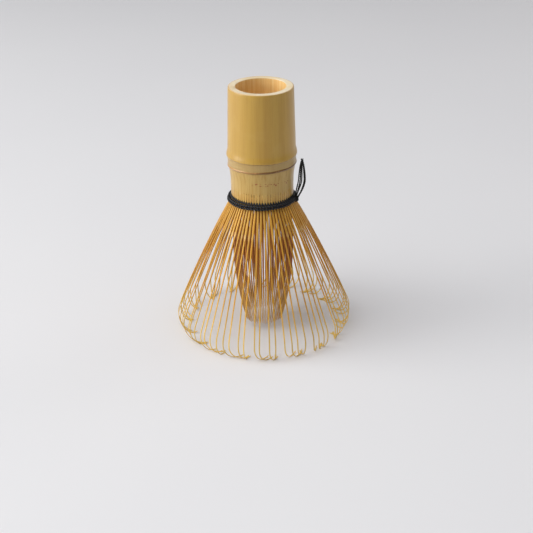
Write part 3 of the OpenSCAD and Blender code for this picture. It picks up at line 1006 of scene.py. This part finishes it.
def weave():
    """The thread that goes in and out between the roots. Its loops show as small points above the binding."""
    low = weave_path(BIND_Z - 0.1, 0.0, 0.0, WEAVE_R - 0.17)
    high = [weave_path(BIND_Z + 1.2, 0.95, turn, WAIST_R + 0.3) for turn in (0.0, math.pi)]
    piece = cord_mesh("weave_thread", [low] + high, THREAD, LOOSE_D, 2, 1.2, closed=True)
    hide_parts("thread_weave")


def knot():
    """Two overhand loops, each a trefoil curve, pulled tight over the ends of the binding."""
    t = np.linspace(0, 2 * math.pi, 150, endpoint=False)
    loops = []
    for size, lift, tilt in ((0.62, -0.25, 0.5), (0.5, 0.42, -0.7)):
        x = size * 0.8 * np.cos(3 * t)
        y = size * (np.sin(t) + 2 * np.sin(2 * t)) * 0.42
        z = size * (np.cos(t) - 2 * np.cos(2 * t)) * 0.42 + lift + tilt * y * 0.3
        loops.append(np.stack([x, y, z], -1))
    low, high = node_box("thread_knot")
    middle = np.array([BINDING_R + BINDING_D / 2, 0, (low[2] + high[2]) / 2])
    paths = [turned(loop + middle, KNOT_TURN) for loop in loops]
    piece = cord_mesh("knot_thread", paths, TAIL_THREAD, LOOSE_D, 3, 1.8, closed=True)
    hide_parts("thread_knot")


STRANDS = 6
STRAND_D = 0.56
# Share of the tail's height at which its strands are gathered
GATHER = 0.94


def strand_path(index):
    """One strand of the tail: out of the knot, fanned out in the middle, gathered under its loose end."""
    t = np.linspace(0, 1, 70)
    low, high = node_box("thread_tail")
    height = (high[2] - low[2]) * (1 - 0.1 * abs(scatter(13 * index)))
    turn = np.radians(360 * index / STRANDS + 30 * t + 12 * scatter(index + 5))
    widest = 1.45 if index % 2 else 0.75
    fan = 0.2 + (widest + 0.2 * scatter(index + 60)) * np.sin(math.pi * (t / GATHER).clip(0, 1)) ** 0.7
    fan = fan + 4 * (t - GATHER).clip(0, 1)
    bow = 2.4 * ease(0.15 + t / 0.6) - 0.15
    x = bow + fan * np.cos(turn) + 0.1 * np.sin(7 * t + index)
    y = 0.8 * fan * np.sin(turn) + 0.1 * np.sin(5 * t + 2 * index)
    path = np.stack([x + BINDING_R + BINDING_D / 2, y, height * t + low[2]], -1)
    return turned(path, KNOT_TURN)


def tail():
    """The loose ends of the thread, which stand up beside the node."""
    paths = [strand_path(i) for i in range(STRANDS)]
    piece = cord_mesh("tail_thread", paths, TAIL_THREAD, STRAND_D, 3, 2.6, taper=0.5)
    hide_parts("thread_tail")


# --- Stage ---

CAMERA_DISTANCE = 447.7
CAMERA_HEIGHT = 242.7
CAMERA_PITCH = 25.9
CAMERA_ROLL = 0.77
CAMERA_X = 1.26
IMAGE_PX = 533
FOCAL_PX = 1208
SENSOR_MM = 36


def camera():
    """The photograph's view: from the front, a little above, with the whisk just off the middle."""
    data = bpy.data.cameras.new("camera")
    data.sensor_width = SENSOR_MM
    data.lens = FOCAL_PX / IMAGE_PX * SENSOR_MM
    data.clip_start, data.clip_end = 0.05, 20
    cam = bpy.data.objects.new("camera", data)
    bpy.context.scene.collection.objects.link(cam)
    look = Matrix.Rotation(math.radians(90 - CAMERA_PITCH), 4, "X") @ Matrix.Rotation(
        math.radians(-CAMERA_ROLL), 4, "Z")
    place = Vector((CAMERA_X, -CAMERA_DISTANCE, CAMERA_HEIGHT)) * MM
    cam.matrix_world = Matrix.Translation(place) @ look
    bpy.context.scene.camera = cam


def area_light(name, place, target, size, watts, colour):
    """A round soft light that faces its target. Places are in metres."""
    data = bpy.data.lights.new(name, "AREA")
    data.shape = "DISK"
    data.size, data.energy, data.color = size, watts, colour
    light = bpy.data.objects.new(name, data)
    bpy.context.scene.collection.objects.link(light)
    direction = Vector(target) - Vector(place)
    light.matrix_world = Matrix.Translation(place) @ direction.to_track_quat("-Z", "Y").to_matrix().to_4x4()


def floor():
    """A plain pale floor."""
    n = Nodes("floor_paper")
    faint = n.noise(n.object_point(), 6.0, 2.0)
    n.finish(Base_Color=n.mix(faint, rgb(228, 228, 231), rgb(232, 232, 234)), Roughness=0.75,
             Specular_IOR_Level=0.2)
    half = 4000
    corners = [(-half, -half, 0), (half, -half, 0), (half, half, 0), (-half, half, 0)]
    piece = mesh_piece("floor", corners, [(0, 1, 2, 3)], n.material)


def studio():
    """Soft light from the upper left, as in the photograph, and a weak warm fill from behind on the right."""
    bpy.context.scene.view_settings.view_transform = "Standard"
    world = bpy.data.worlds.new("studio")
    bpy.context.scene.world = world
    world.use_nodes = True
    back = world.node_tree.nodes["Background"]
    back.inputs["Color"].default_value = (0.86, 0.88, 0.94, 1)
    back.inputs["Strength"].default_value = 0.18
    area_light("key", (-0.9, -0.34, 1.18), (0, -0.4, 0), 1.9, 17.5, (1.0, 0.99, 0.97))
    area_light("overhead", (0.2, -0.25, 1.1), (0, -0.2, 0), 1.4, 3.7, (1.0, 1.0, 1.0))
    area_light("window", (-1.2, -0.15, 0.4), (0, 0, 0.06), 0.9, 8.6, (1.0, 0.99, 0.98))
    area_light("fill", (0.9, 0.55, 0.35), (0, 0, 0.05), 0.6, 1.5, (1.0, 0.92, 0.88))


culm()
outer_tines()
inner_tines()
weave()
binding()
knot()
tail()
floor()
studio()
camera()
